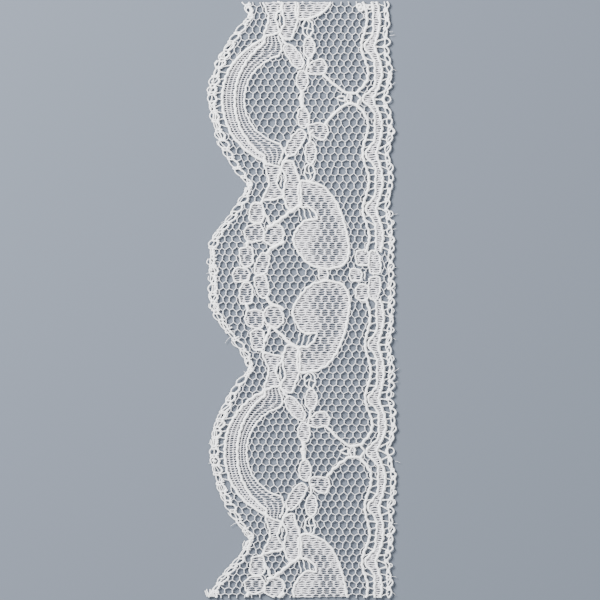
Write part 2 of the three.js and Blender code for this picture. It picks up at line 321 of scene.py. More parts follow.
def smooth(path, closed=False, fineness=12):
    """A Catmull-Rom line through a few points."""
    path = np.asarray(path, float)
    if closed:
        ends = np.vstack([path[-1:], path, path[:2]])
    else:
        ends = np.vstack([2 * path[0] - path[1], path, 2 * path[-1] - path[-2]])
    t = np.linspace(0, 1, fineness, endpoint=False)[:, None]
    parts = []
    for a, b, c, d in zip(ends, ends[1:], ends[2:], ends[3:]):
        parts.append(0.5 * (2 * b + (c - a) * t + (2 * a - 5 * b + 4 * c - d) * t**2
                            + (3 * b - a - 3 * c + d) * t**3))
    if not closed:
        parts.append(path[-1:])
    return np.vstack(parts)


def within(points, outline):
    """Which points lie inside a closed outline."""
    x, y = points.T
    inside = np.zeros(len(points), bool)
    for (x0, y0), (x1, y1) in zip(outline, np.roll(outline, -1, axis=0)):
        if y0 == y1:
            continue
        hit = (y0 <= y) != (y1 <= y)
        inside ^= hit & (x < x0 + (y - y0) / (y1 - y0) * (x1 - x0))
    return inside


# --- Outlines in the chart ---


def enclosed(first, second):
    """The outline of the area between two lines that run the same way."""
    return np.vstack([first, second[::-1]])


def leaf_outline(leaf):
    """A long oval, its sides filled out (fullness under 1) or drawn in (over 1)."""
    phase = np.linspace(0, TAU, 48, endpoint=False)
    cos, sin = np.cos(phase), np.sin(phase)
    along = np.sign(cos) * np.abs(cos) ** min(1.0, leaf.fullness) * (leaf.length / 2 - CORD / 2)
    across = np.sign(sin) * np.abs(sin) ** leaf.fullness * (leaf.width / 2 - CORD / 2)
    across *= 1 + leaf.taper * cos
    cos, sin = math.cos(math.radians(leaf.angle)), math.sin(math.radians(leaf.angle))
    return columns(leaf.x + along * cos - across * sin, leaf.v + along * sin + across * cos)


def arc(shape, end=()):
    """An arc of the crescent, from its end to the crescent line."""
    angle = np.linspace(-1, 0, 40) * math.asin(shape.reach / shape.radius)
    x = shape.centre - shape.radius * np.cos(angle)
    return np.vstack([*end, columns(x, HALF + shape.radius * np.sin(angle))])


def crescent_x(v):
    """Where the crescent's outer cord runs."""
    return CRESCENT_OUTER.centre - np.sqrt(CRESCENT_OUTER.radius**2 - (HALF - v) ** 2)


def drawn(points):
    """The smooth outline through a few points."""
    return smooth(points, closed=True, fineness=6)


def ellipse(x, v, half_width, half_height):
    """An ellipse that stands upright."""
    phase = np.linspace(0, TAU, 24, endpoint=False)
    return columns(x + half_width * np.cos(phase), v + half_height * np.sin(phase))


def band_path(number, end=HALF):
    """The liner cord (0), or the band's left (1) or right (2) cord."""
    v = np.linspace(BAND_START, end, 160)
    return columns(band(v)[number], v)


# --- Threads ---

# Slow unevenness, across and along in turn: direction, wavelength and amount.
SWELLS = ((0.3, 23.0, 0.14), (1.5, 31.0, 0.2), (2.2, 13.0, 0.07), (0.9, 9.0, 0.05))


def laid(points):
    """Points of the chart as the lace really lies: bowed, and a little uneven."""
    x, y, _ = points.T
    moved = np.array(points, float)
    for number, (direction, wavelength, amount) in enumerate(SWELLS):
        phase = TAU * (x * math.cos(direction) + y * math.sin(direction)) / wavelength
        moved[:, number % 2] += amount * np.sin(phase + number)
    along = y / END
    across = (x + WIDTH / 2) / WIDTH
    moved[:, 0] -= np.where(y > 0, *BOW) * along**2 * across**2
    shift, shift_y, spread = SWAY
    moved[:, 0] += shift * np.exp(-(((y - shift_y) / spread) ** 2))
    moved[:, 2] += LIFT + LIFT * np.sin(x / 4.3 + 1.0) * np.sin(y / 7.1)
    return moved


def new_object(name, data):
    """An object in the scene for a mesh, a lamp or a camera."""
    made = bpy.data.objects.new(name, data)
    bpy.context.collection.objects.link(made)
    return made


def directions(path, closed):
    """Unit vectors that stand sideways and upwards on a path."""
    round_it = np.roll(path, -1, axis=0) - np.roll(path, 1, axis=0)
    ahead = round_it if closed else np.gradient(path, axis=0)
    ahead /= np.linalg.norm(ahead, axis=1)[:, None]
    side = np.cross(ahead, (0.0, 0.0, 1.0))
    side /= np.linalg.norm(side, axis=1)[:, None] + 1e-12
    return side, np.cross(side, ahead)


class Threads:
    """Closed tubes along paths, collected into one mesh."""

    def __init__(self, name, sides):
        self.name = name
        self.sides = sides
        self.points, self.faces, self.caps, self.uvs = [], [], [], []
        self.count = 0

    def add(self, path, width, height=None, closed=False, twist=None):
        """A thread along x, y, z points, round or flat, or plied with one turn in twist."""
        path = laid(np.asarray(path, float))
        width = np.broadcast_to(width, len(path))[:, None]
        height = width if height is None else np.broadcast_to(height, len(path))[:, None]
        step = np.linalg.norm(np.diff(path, axis=0, append=path[:1]), axis=1)
        run = np.concatenate([[0], np.cumsum(step)[:-1]])
        angle = TAU * (np.arange(self.sides) + 0.5) / self.sides
        swell = np.ones((len(path), self.sides))
        if twist:
            turns = np.round(step.sum() / twist) / step.sum() if closed else 1 / twist
            swell += PLY_GROOVE * np.cos(PLIES * angle - TAU * PLIES * run[:, None] * turns)
        side, up = directions(path, closed)
        across = np.cos(angle) * swell * width / 2
        rise = np.sin(angle) * swell * height / 2
        rings = path[:, None] + side[:, None] * across[..., None] + up[:, None] * rise[..., None]
        self.cover(rings, run, step, closed)

    def cover(self, rings, run, step, closed):
        """Faces from ring to ring, with caps at open ends."""
        n, sides = rings.shape[:2]
        start = self.count
        self.points.append(rings.reshape(-1, 3))
        self.count += n * sides
        rows = np.arange(n if closed else n - 1)[:, None]
        column = np.arange(sides)
        beside = (column + 1) % sides
        here = start + rows * sides
        over = start + (rows + 1) % n * sides
        corners = [here + column, here + beside, over + beside, over + column]
        self.faces.append(np.stack(corners, axis=-1).reshape(-1, 4))
        u = np.broadcast_to(column / sides, (len(rows), sides))
        low = np.broadcast_to(run[rows], u.shape)
        high = low + step[rows]
        after = u + 1 / sides
        self.uvs.append(np.stack([u, low, after, low, after, high, u, high], axis=-1).ravel())
        if not closed:
            self.caps += [start + column[::-1], start + (n - 1) * sides + column]

    def piece(self, material):
        """The mesh object of all threads so far, in metres."""
        faces = [*np.vstack(self.faces).tolist(), *np.reshape(self.caps, (-1, self.sides)).tolist()]
        uvs = np.concatenate(self.uvs)
        mesh = bpy.data.meshes.new(self.name)
        mesh.from_pydata(np.vstack(self.points) * MM, [], faces, shade_flat=False)
        cap_uvs = np.zeros(2 * len(mesh.loops) - len(uvs))
        mesh.uv_layers.new(name="thread").data.foreach_set("uv", np.concatenate([uvs, cap_uvs]))
        mesh.validate()
        mesh.materials.append(material)
        made = new_object(self.name, mesh)
        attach(made, "root")
        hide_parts("lace")
        return made


def at_height(path, z):
    """A flat path raised to a height."""
    return columns(path, np.broadcast_to(z, len(path)))


# --- Half repeats ---

# y of the flower line that each starts from, and whether it runs up (1) or down (-1).
Half = namedtuple("Half", "line way")
HALVES = [Half(FLOWER_LINE + up, way) for up, way in ((REPEAT, -1), (0, 1), (0, -1), (-REPEAT, 1))]


def placed(path, half):
    """A charted path in a half repeat of the strip."""
    x, v = np.asarray(path, float).T
    return columns(x, half.line + half.way * v)


def own(leaves, half):
    """The leaves of a half repeat. The one that runs up has those across a mirror line."""
    return [leaf for leaf in leaves if half.way > 0 or leaf.v not in (0.0, HALF)]


def trimmed(path, outlines=()):
    """Stretches of a path between the cut ends, in the first outline and outside the others."""
    keep = np.abs(path[:, 1]) <= END
    for number, outline in enumerate(outlines):
        keep &= within(path, outline) ^ (number > 0)
    edges = np.flatnonzero(np.diff(np.concatenate([[0], keep.astype(int), [0]])))
    return [path[a:b] for a, b in zip(edges[::2], edges[1::2]) if b - a > 2]


def patches(half):
    """Patches of clothwork: outline and holes, how open and, in the crescent, their pillars."""
    found = []
    eyes = [placed(ellipse(*eye), half) for eye in EYES]
    for leaf in own(LEAVES, half):
        outline = placed(leaf_outline(leaf), half)
        found.append({
            "outlines": [outline] + [eye for eye in eyes if within(eye[:1], outline)[0]],
            "centre": placed([(leaf.x, leaf.v)], half)[0],
            "turn": math.radians(leaf.angle) * half.way,
            "half": (leaf.length / 2, leaf.width / 2),
            "open": leaf.open,
        })
    for points, even in OPEN_PIECES:
        found.append({"outlines": [placed(drawn(points), half)], "even": even})
    spots = [(*placed([(x, v)], half)[0], w, h) for x, v, w, h in COMMA_OPEN]
    found.append({"outlines": [placed(drawn(COMMA), half)], "spots": spots})
    strip = enclosed(band_path(1), band_path(2))
    found.append({"outlines": [placed(strip, half)], "even": BAND_OPEN})
    outer = arc(CRESCENT_OUTER, OUTER_END)
    middle = arc(CRESCENT_MIDDLE, MIDDLE_END)
    inner = arc(CRESCENT_INNER, INNER_END)
    return found + [
        between(half, outer, middle, outer[0, 1], HALF, 3, 0.7),
        between(half, middle, inner, FAN_V, HALF, 3, 1.0),
        between(half, middle, inner, middle[0, 1], FAN_V, 4, 1.0),
    ]


def between(half, left, right, low, high, gaps, even):
    """A patch between two charted lines, with pillars that share its width."""
    v = np.arange(low, high + COURSE / 4, COURSE / 2)
    v[-1] = high
    first, last = (np.interp(v, line[:, 1], line[:, 0]) for line in (left, right))
    lines = [columns(first + (last - first) * i / gaps, v) for i in range(gaps + 1)]
    pillars = [placed(line, half) for line in lines]
    return {"outlines": [enclosed(pillars[0], pillars[-1])], "pillars": pillars, "even": even}


# One draw for each course and each gap between pillars decides which eyelets are slits.
DRAWS = random.random((97, 61))


def openness(patch, x, y):
    """How open the clothwork of a patch is along a course, from 0 to 1."""
    if "even" in patch:
        return np.full(len(x), patch["even"])
    if "spots" in patch:
        level = np.zeros(len(x))
        for cx, cy, w, h in patch["spots"]:
            far = np.sqrt(((x - cx) / w) ** 2 + ((y - cy) / h) ** 2)
            level = np.maximum(level, np.clip(SPOT_FADE * (1 - far), 0, 1))
        return level
    dx, dy = x - patch["centre"][0], y - patch["centre"][1]
    cos, sin = math.cos(patch["turn"]), math.sin(patch["turn"])
    along = (dx * cos + dy * sin) / patch["half"][0]
    across = (dy * cos - dx * sin) / patch["half"][1]
    far = np.hypot(along, across)
    return patch["open"] * np.clip(LEAF_FADE * (LEAF_RIM - far), 0, 1)


def mesh_places(patch, x, course):
    """Places along a course in meshes, which shift by half a wale from row to row."""
    if "pillars" not in patch:
        return (x - NEEDLE_X) / WALE + 0.5 * (course // 3 % 2)
    y = FLOWER_LINE + (course + 0.5) * COURSE
    pillars = [pillar[np.argsort(pillar[:, 1])] for pillar in patch["pillars"]]
    crossed = [np.interp(y, pillar[:, 1], pillar[:, 0]) for pillar in pillars]
    return np.interp(x, crossed, np.arange(len(crossed)))


def eyelets(patch, x, course):
    """How far the gap over a course is open along it, from 0 to 1."""
    strength = openness(patch, x, FLOWER_LINE + (course + 0.5) * COURSE)
    place = mesh_places(patch, x, course)
    column = np.floor(place).astype(int)
    draw = DRAWS[course % DRAWS.shape[0], column % DRAWS.shape[1]]
    round_one = draw < PINHOLES + (1 - PINHOLES) * strength
    size = np.where(round_one, 0.5 + 0.5 * strength, SLIT)
    if "pillars" in patch:
        least, by_draw = CURVED_HALF
        half = least + by_draw * draw
    else:
        least, by_draw, by_strength, in_middle = ROUND_HALF
        half = least + by_strength * strength + in_middle * (course % 3 == 1) + by_draw * draw
        half = np.where(round_one, half, SLIT_HALF)
    return size * np.clip((half - np.abs(place - column - 0.5)) / EYE_END, 0, 1)


def stretches(outlines, level):
    """Pairs of x between which a level of y runs inside a patch."""
    ends = []
    for outline in outlines:
        x, y = outline.T
        next_x, next_y = np.roll(outline, -1, axis=0).T
        hit = (y <= level) != (next_y <= level)
        share = (level - y[hit]) / (next_y[hit] - y[hit])
        ends.extend(x[hit] + share * (next_x[hit] - x[hit]))
    ends.sort()
    return [(a, b) for a, b in zip(ends[::2], ends[1::2]) if b - a > SHORTEST]


def add_wefts(threads, patch):
    """Threads from side to side of a patch, one in each course."""
    reach = patch["outlines"][0][:, 1]
    first = math.ceil((max(reach.min(), -END) - FLOWER_LINE) / COURSE)
    last = math.floor((min(reach.max(), END) - FLOWER_LINE) / COURSE)
    for course in range(first, last + 1):
        y = FLOWER_LINE + course * COURSE
        for a, b in stretches(patch["outlines"], y):
            x = np.linspace(a, b, max(3, round((b - a) / WEFT_STEP) + 1))
            up = (WEFT - EYELET * eyelets(patch, x, course)) / 2
            down = (WEFT - EYELET * eyelets(patch, x, course - 1)) / 2
            place = mesh_places(patch, x, course)
            z = WEFT_Z + 0.02 * np.cos(TAU * place + np.pi * course)
            ripple = RIPPLE * np.sin(TAU * x / 1.9 + y / 2.2)
            threads.add(columns(x, y + (up - down) / 2 + ripple, z), up + down, WEFT_HEIGHT)


def add_pillars(threads, patch):
    """The yarns that bind the wefts: curved, or in pairs that step along the meshes."""
    if "pillars" in patch:
        for line in patch["pillars"][1:-1]:
            for path in trimmed(resample(line, COURSE / 2)):
                path[:, 0] += 0.04 * np.sin(np.pi * path[:, 1] / COURSE)
                threads.add(at_height(path, PILLAR_Z), *PILLAR)
        return
    outline = patch["outlines"][0]
    corners = np.array([outline.min(axis=0), outline.max(axis=0)])
    (left, low), (right, high) = (corners - (NEEDLE_X, FLOWER_LINE)) / (WALE, MESH_ROW)
    rows = range(math.floor(low), math.ceil(high))
    if len(rows) < 2:
        return
    for column in range(math.floor(left), math.ceil(right) + 1):
        for side in (-1, 1):
            points = []
            for row in rows:
                x = NEEDLE_X + (column + side * 0.5 * (row % 2)) * WALE + side * 0.05
                y = FLOWER_LINE + row * MESH_ROW
                points += [(x, y + 0.3 * COURSE), (x, y + 2.7 * COURSE)]
            for path in trimmed(resample(points, COURSE / 2), patch["outlines"]):
                threads.add(at_height(path, PILLAR_Z), *PILLAR)


def add_cord(threads, half, path, width, closed=False):
    """A liner cord along a charted path, drawn to and fro a little by each row of meshes."""
    path = resample(placed(path, half), CORD_STEP, closed)
    x, y = path.T
    row = TAU * y / MESH_ROW
    path = path + WAVER * columns(np.sin(row + 0.9 * x), np.sin(0.7 * row + 2.1 * x))
    width = width * (1 + 0.09 * np.sin(2.9 * x + 2.3 * y) + 0.07 * np.sin(1.7 * row - 1.3 * x))
    height = np.minimum(width, CORD)
    if closed and np.all(np.abs(path[:, 1]) <= END):
        threads.add(at_height(path, CORD_Z), width, height, closed=True, twist=CORD_TWIST)
        return
    rows = columns(path, width, height)
    for part in trimmed(np.vstack([rows, rows[:1]]) if closed else rows):
        threads.add(at_height(part[:, :2], CORD_Z), *part[:, 2:].T, twist=CORD_TWIST)


# --- Net ground ---


class Net:
    """The hexagonal net, cut out round the clothwork and drawn even by its own threads.

    A corner's key is its row, its column, and 0 or 1 for the lower or upper end of its upright side.
    """

    def __init__(self, holes):
        self.holes = holes
        self.rows = range(math.floor(-END / MESH_ROW) - 1, math.ceil(END / MESH_ROW) + 2)
        self.columns = range(math.floor(-WIDTH / WALE) - 1, 2)
        keys = [(row, column, end) for row in self.rows for column in self.columns for end in (0, 1)]
        self.number = {key: i for i, key in enumerate(keys)}
        row, column, end = np.array(keys).T
        x = NEEDLE_X + (column + (row % 2) / 2) * WALE
        even = columns(x, row * MESH_ROW + (2 * end - 1) * COURSE)
        self.places = even + random.normal(0, NET_SCATTER, even.shape)
        self.ok = self.free(self.places)
        sides = self.sides()
        self.draw_even(sides, self.fasten(sides))

    def free(self, points):
        """Which points are in the net's own area."""
        x, y = points.T
        ok = (x > scallop_x(y)) & (x < heading_x(y)) & (np.abs(y) < END)
        for hole in self.holes:
            low, high = hole.min(0), hole.max(0)
            near = np.flatnonzero(ok & np.all((points >= low) & (points <= high), axis=1))
            ok[near[within(points[near], hole)]] = False
        return ok

    def area(self, step=0.25):
        """The net's own area, counted on a fine grid of places."""
        x, y = np.meshgrid(np.arange(-WIDTH / 2, WIDTH / 2, step), np.arange(-END, END, step))
        return self.free(columns(x.ravel(), y.ravel())).sum() * step**2

    def sides(self):
        """Every side of a mesh, as the numbers of its two ends."""
        found = []
        for (row, column, end), here in self.number.items():
            left = column - 1 + row % 2
            others = ((row + 1, left, 0), (row + 1, left + 1, 0)) if end else ((row, column, 1),)
            found += [(here, self.number[other]) for other in others if other in self.number]
        return np.array(found)

    def fasten(self, sides):
        """Anchors where sides leave the net's own area, and the numbers of their inner ends."""
        ok, places = self.ok, self.places
        cut = sides[ok[sides[:, 0]] != ok[sides[:, 1]]]
        kept, lost = np.where(ok[cut[:, :1]], cut, cut[:, ::-1]).T
        near, far = places[kept], places[lost]
        for _ in range(HALVINGS):
            middle = (near + far) / 2
            good = self.free(middle)
            near[good], far[~good] = middle[good], middle[~good]
        self.anchor = dict(zip(zip(kept, lost), near))
        self.places = np.vstack([places, near])
        return kept

    def draw_even(self, sides, kept):
        """Move each free corner towards the middle of its three neighbours."""
        ok, places = self.ok, self.places
        links = [[] for _ in ok]
        for a, b in sides[ok[sides].all(axis=1)]:
            links[a].append(b)
            links[b].append(a)
        for i, a in enumerate(kept, len(ok)):
            links[a].append(i)
        loose = np.array([i for i in range(len(ok)) if ok[i] and len(links[i]) == 3])
        beside = np.array([links[i] for i in loose])
        for _ in range(EASINGS):
            places[loose] = 0.5 * places[loose] + 0.5 * places[beside].mean(axis=1)
        places[loose] += random.normal(0, NET_UNEVEN, (len(loose), 2))

    def runs(self, other_yarn):
        """Each unbroken run of one set of yarns: places, with the kind of stretch after each."""
        for column in self.columns:
            chain = [(row, column - row % 2 * other_yarn, end) for row in self.rows for end in (0, 1)]
            run = []
            for first, second in zip(chain, chain[1:]):
                a, b = self.number.get(first), self.number.get(second)
                if a is None or b is None:
                    run = []
                    continue
                upright = first[2] == 0
                lean = (first[0] % 2) ^ other_yarn
                if self.ok[a]:
                    run.append((self.places[a], upright, lean))
                if self.ok[a] and not self.ok[b]:
                    run.append((self.anchor[a, b], False, lean))
                    yield run
                    run = []
                elif self.ok[b] and not self.ok[a]:
                    run = [(self.anchor[b, a], upright, lean)]


def add_net(threads, net):
    """Two sets of yarns that meet in pairs, with one turn round each other in each upright side."""
    for other_yarn in (False, True):
        for run in net.runs(other_yarn):
            points, sizes = [], []
            for (place, upright, lean), (beyond, _, _) in zip(run, run[1:]):
                ahead = beyond - place
                length = np.linalg.norm(ahead)
                if length < 1e-3:
                    continue
                if not upright:
                    points.append((*(place + ahead / 2), NET_Z))
                    sizes.append(NET_YARN)
                    continue
                right = np.array([ahead[1], -ahead[0]]) / length
                share = min(1.0, length / (2 * COURSE))
                for t in np.linspace(0, 1, TURN_STEPS + 1):
                    angle = np.pi * lean + TAU * t * share
                    flat = place + ahead * t + right * PLY_RADIUS * math.cos(angle)
                    points.append((*flat, NET_Z + PLY_RADIUS * math.sin(angle)))
                    sizes.append(NET_PLY)
            # The end goes in before the last point, so the yarn turns back a little over its own end.
            for at, (place, _, _) in ((0, run[0]), (-1, run[-1])):
                points.insert(at, (*place, NET_Z))
                sizes.insert(at, NET_YARN)
            points = np.array(points)
            steps = np.linalg.norm(np.diff(points, axis=0), axis=1)
            keep = np.concatenate([[True], steps > 0.02])
            if keep.sum() > 2:
                threads.add(points[keep], *np.array(sizes)[keep].T)


# --- Edges ---

EDGE_Y = np.arange(-END, END, 0.12)  # y of the points of threads that run along an edge
BRAID = 0.3  # widths of the threads of the scalloped edge
CELL_THREAD = 0.24
BAR = 0.3
LOOSE_BAR = 0.26
OUTER_LOOP = 0.16
CUT_END = 0.2
CHAIN = (0.23, 0.32)  # and of the heading: its inner and outer thread, knots and rings
KNOT = 0.34
RING = 0.24
LINK = 0.17
HAIR = 0.09
NARROW_ODDS = 0.25  # how often a cell is narrow, has a loop outside it, or is clumped
OUTER_ODDS = 0.25
CLUMP_ODDS = 0.3
CUT_ENDS = 7  # threads loose at the lower cut end
CLEAR = 0.4  # no picots nearer than this to a cut end


def wander(y, step, amount):
    """An uneven sway along the strip."""
    knots = np.arange(-END - step, END + 2 * step, step)
    return np.interp(y, knots, random.normal(0, amount, len(knots)))


def picot_levels():
    """y of each picot between the cut ends, a little uneven."""
    first = math.ceil((CLEAR - END - FLOWER_LINE) / PICOT)
    last = math.floor((END - CLEAR - FLOWER_LINE) / PICOT)
    numbers = np.arange(first, last + 1)
    return FLOWER_LINE + PICOT * numbers + random.normal(0, 0.08, len(numbers))


def picot_reach(y):
    """How far the picots stand out, shorter where two scallops meet."""
    return PICOT_TIP * (1 - 0.5 * np.exp(-(((chart_v(y) - NODE_V) / 1.3) ** 2)))


def add_braid(threads, x, y, width):
    """Two yarns looped round each other once in two courses."""
    beat = np.pi * y / COURSE
    for side in (-1, 1):
        path = columns(x + side * 0.1 * np.sin(beat), y, CORD_Z + side * 0.06 * np.cos(beat))
        threads.add(path, width)


def add_loop(threads, points, width, closed=False):
    """A small loop through a few x, y points."""
    path = resample(smooth(points, closed, 6), 0.14, closed)
    if np.all(np.abs(path[:, 1]) < END):
        threads.add(at_height(path, CORD_Z), width, closed=closed)


def add_cells(threads, levels, steep):
    """The braid and the thread outside it, which bulge between the picots."""
    y = EDGE_Y
    root = scallop_x(y)
    beat = np.cos(TAU * (y - FLOWER_LINE) / PICOT)
    cell = np.searchsorted(levels, y)
    ends = np.concatenate([[levels[0] - PICOT], levels, [levels[-1] + PICOT]])
    share = (y - ends[cell]) / (ends[cell + 1] - ends[cell])
    swell = np.sin(np.pi * np.clip(share, 0, 1)) ** 0.7
    narrow = random.random(len(levels) + 1) < NARROW_ODDS
    size = random.uniform(0.3, 0.5, len(narrow)) - 0.2 * narrow
    tuck = random.uniform(-0.2, 0.05, len(narrow)) + 0.4 * narrow
    inner = root - 0.12 - 0.2 * beat - tuck[cell] * swell + wander(y, 1.3, 0.07)
    add_braid(threads, inner, y, BRAID - 0.07 * steep)
    edge = 0.54 + size[cell] * swell * (1 - 0.25 * steep)
    outer = columns(root - picot_reach(y) * edge, y)
    threads.add(at_height(outer, NET_Z + 0.08), CELL_THREAD - 0.03 * steep)


def add_picot(threads, level, slope):
    """A bound bar, at times a loop outside the cell above it, and threads inside that cell."""
    root, reach = scallop_x(level), picot_reach(level)
    loose = reach < 0.9 * PICOT_TIP or slope > 0.55
    tip = root - reach * random.uniform(0.6, 0.85)
    tilt = random.normal(0, 0.14)
    spread = random.uniform(0.1, 0.34)
    low, high = level - spread, level + spread
    bar = ((root + 0.1, low - tilt), (tip + 0.5, low), (tip + 0.1, low), (tip, level),
           (tip + 0.1, high), (tip + 0.5, high), (root + 0.1, high - tilt))
    add_loop(threads, bar, LOOSE_BAR if loose else BAR)
    if random.random() < OUTER_ODDS:
        far = level + PICOT
        beyond = scallop_x(far) - reach
        out = (tip + beyond) / 2 - random.uniform(0.1, 0.4)
        loop = ((tip + 0.3, level), (tip, level + 0.3), (out, level + 0.8), (beyond + 0.1, far - 0.2))
        add_loop(threads, loop, OUTER_LOOP)
    inside = random.choice((0, 1, 1) if loose else (1, 2, 2, 3))
    low, high = level + 0.2, level + PICOT - 0.2
    for number in range(inside):
        share = (number + 1) / (inside + 1) + random.normal(0, 0.05)
        lean = random.normal(0, 0.2)
        start = scallop_x(low) - reach * share * 0.9
        end = scallop_x(high) - reach * share * 0.9
        middle = (start + end) / 2 + random.normal(0, 0.08)
        points = ((start - lean, low), (middle, (low + high) / 2), (end + lean, high))
        add_loop(threads, points, random.uniform(0.14, 0.28))
    if inside and random.random() < CLUMP_ODDS:
        add_loop(threads, ((start + 0.3, low + 0.5), (middle - 0.3, high - 0.5)), 0.5)


def add_picots(threads):
    """The scalloped edge: bound bars in each fourth course, and cells that bulge out between them."""
    levels = picot_levels()
    steep = np.clip(np.abs(np.gradient(scallop_x(EDGE_Y), EDGE_Y)), 0, 1)
    add_cells(threads, levels, steep)
    for level, slope in zip(levels, np.interp(levels, EDGE_Y, steep)):
        add_picot(threads, level, slope)
    for line, way in HALVES:
        level = line + way * NODE_V
        root = scallop_x(level)
        if abs(level) < END - 2:
            add_loop(threads, ellipse(root - 0.35, level, 0.42, 0.3), 0.44, closed=True)
            add_loop(threads, ellipse(root - 0.75, level - way * 1.2, 0.5, 0.5), 0.26, closed=True)
    for number in range(CUT_ENDS):
        root = scallop_x(-END) - 0.2 - 0.25 * number
        end = (root - 0.5 + random.normal(0, 0.15), random.uniform(1.2, 1.7) - END)
        add_loop(threads, ((root, 0.15 - END), (root - 0.2, 0.7 - END), end), CUT_END)


def add_chain(threads, levels):
    """The chain's two threads, which swing with the band and gape at each level."""
    gape = random.uniform(0.1, 1.0, (2, len(levels)))
    shift = random.normal(0, 0.1, len(levels))
    y = EDGE_Y
    nearest = np.abs(y[:, None] - levels).argmin(1)
    off = np.clip(np.abs(y - levels[nearest]) / (PICOT / 2), 0, 1)
    swell = np.cos(np.pi / 2 * off) ** 0.9 * np.clip(HALF - chart_v(y) - 0.5, 0, 1)
    middle = heading_x(y) + wander(y, 0.9, 0.07) + shift[nearest] * swell
    inner = middle - 0.08 - 0.4 * gape[0][nearest] * swell
    outer = middle + 0.05 + (0.25 + 0.5 * gape[1][nearest]) * swell
    for x, width in zip((inner, outer), CHAIN):
        threads.add(at_height(columns(x, y), CORD_Z), width)


def add_stitches(threads, level):
    """A knot above a level, and at times a thread across the chain and a loop outside it."""
    root = heading_x(level)
    drawn_in = (HEADING_X - root) / (HEADING_DRAW + POINT_DRAW[2])
    y = level + PICOT / 2
    knot = ellipse(heading_x(y) + random.normal(0.0, 0.1), y,
                   random.uniform(0.18, 0.34), random.uniform(0.18, 0.36))
    if abs(y) < END - 0.5:
        add_loop(threads, knot, KNOT, closed=True)
    if random.random() < 0.45:
        lean = random.normal(0, 0.2)
        points = ((root - 0.2, level - 0.4 - lean), (root + random.normal(0.05, 0.08), level),
                  (root + 0.3, level + 0.4 + lean))
        add_loop(threads, points, random.uniform(0.14, 0.3))
    if random.random() < 0.3 + 0.4 * drawn_in:
        reach = HEADING_LOOP - random.uniform(0.0, 0.25) - 0.3 * drawn_in
        low, high = random.uniform(0.3, 0.6, 2)
        loop = ((root + 0.3, level - low), (reach - 0.25, level - low * 0.8), (reach, level),
                (reach - 0.2, level + high * 0.9), (root + 0.3, level + high))
        add_loop(threads, loop, random.uniform(0.14, 0.22))


def add_heading(threads):
    """The straight edge: a knotted chain, with knots at the top end and a ring at each V."""
    levels = picot_levels()
    levels += random.normal(0, 0.09, len(levels))
    add_chain(threads, levels)
    for level in levels:
        if HALF - chart_v(level) >= 1.0:
            add_stitches(threads, level)
    for x, below, width in KNOTS:
        add_loop(threads, ellipse(x, END - below, 0.42, 0.34), width, closed=True)
    for line, way in HALVES[1:3]:
        ring = ellipse(HEADING_X - 0.5, line + way * HALF, 0.8, 0.66)
        add_loop(threads, ring, RING, closed=True)


def add_links(threads):
    """Single threads in each mesh row: liner to band, band to heading, crescent to picots."""
    for row in range(math.ceil(-END / MESH_ROW), math.floor(END / MESH_ROW)):
        y = (row + 0.5) * MESH_ROW
        v = chart_v(y)
        liner, left, right = band(v)
        pairs = []
        if BAND_START + 1 < v < LINER_END:
            pairs.append((liner, left))
        if v > BAND_START:
            pairs.append((right, heading_x(y)))
        if v > HALF - NARROWS:
            pairs.append((scallop_x(y), crescent_x(v)))
        for near, far in pairs:
            if far - near < 0.7:
                continue
            slant = (-1) ** row * random.uniform(0.12, 0.3)
            middle = (near + far) / 2 + random.normal(0, 0.08)
            crossed = slant + random.choice((-0.3, 0.3))
            for lean in (slant, crossed) if far - near > 1.6 else (slant,):
                add_loop(threads, ((near, y - lean), (middle, y), (far, y + lean)), LINK)


def add_hairs(threads):
    """Broken fibre ends that stand out at both edges."""
    for number in range(HAIRS):
        y = random.uniform(1.0 - END, END - 1.0)
        side = 1 if number % 3 else -1
        x = HEADING_LOOP - 0.3 if side > 0 else scallop_x(y) - picot_reach(y) + 0.4
        long = random.uniform(0.5, 1.1)
        lean = random.normal(0, 0.5)
        t = np.linspace(0, 1, 7)
        path = columns(x + side * long * t, y + long * lean * t**2, NET_Z + 0.1 * (1 - t))
        threads.add(path, HAIR * (1 - 0.5 * t))


# --- Materials ---

YARN_SHADER = {"Roughness": 0.55, "Sheen Weight": 0.25, "Sheen Roughness": 0.4, "Specular IOR Level": 0.4}
FLOOR_SHADER = {"Base Color": (0.115, 0.132, 0.162, 1), "Roughness": 0.9, "Specular IOR Level": 0.1}

# Yarns: colour, and how many fibres show across a thread. The net and clothwork yarns are the same white as
# the liner yarn, painted greyer: painted shade of the floor seen between their thin threads.
YARNS = {
    "net_yarn_painted_shade": ((0.9, 0.9, 0.93), 3.0),
    "clothwork_yarn_painted_shade": ((0.82, 0.81, 0.85), 4.0),
    "liner_yarn": ((0.97, 0.97, 0.97), 5.0),
}
DULLER = 0.88  # the darker patches, against the colour


def set_inputs(node, values):
    """Set a node's inputs by name."""
    for name, value in values.items():
        node.inputs[name].default_value = value


def join(source, output, target, name):
    """Link an output of one node to an input of another."""
    target.id_data.links.new(source.outputs[output], target.inputs[name])


def new_material(name, values):
    """A material whose shader has these inputs."""
    material = bpy.data.materials.new(name)
    material.use_nodes = True
    set_inputs(material.node_tree.nodes["Principled BSDF"], values)
    return material


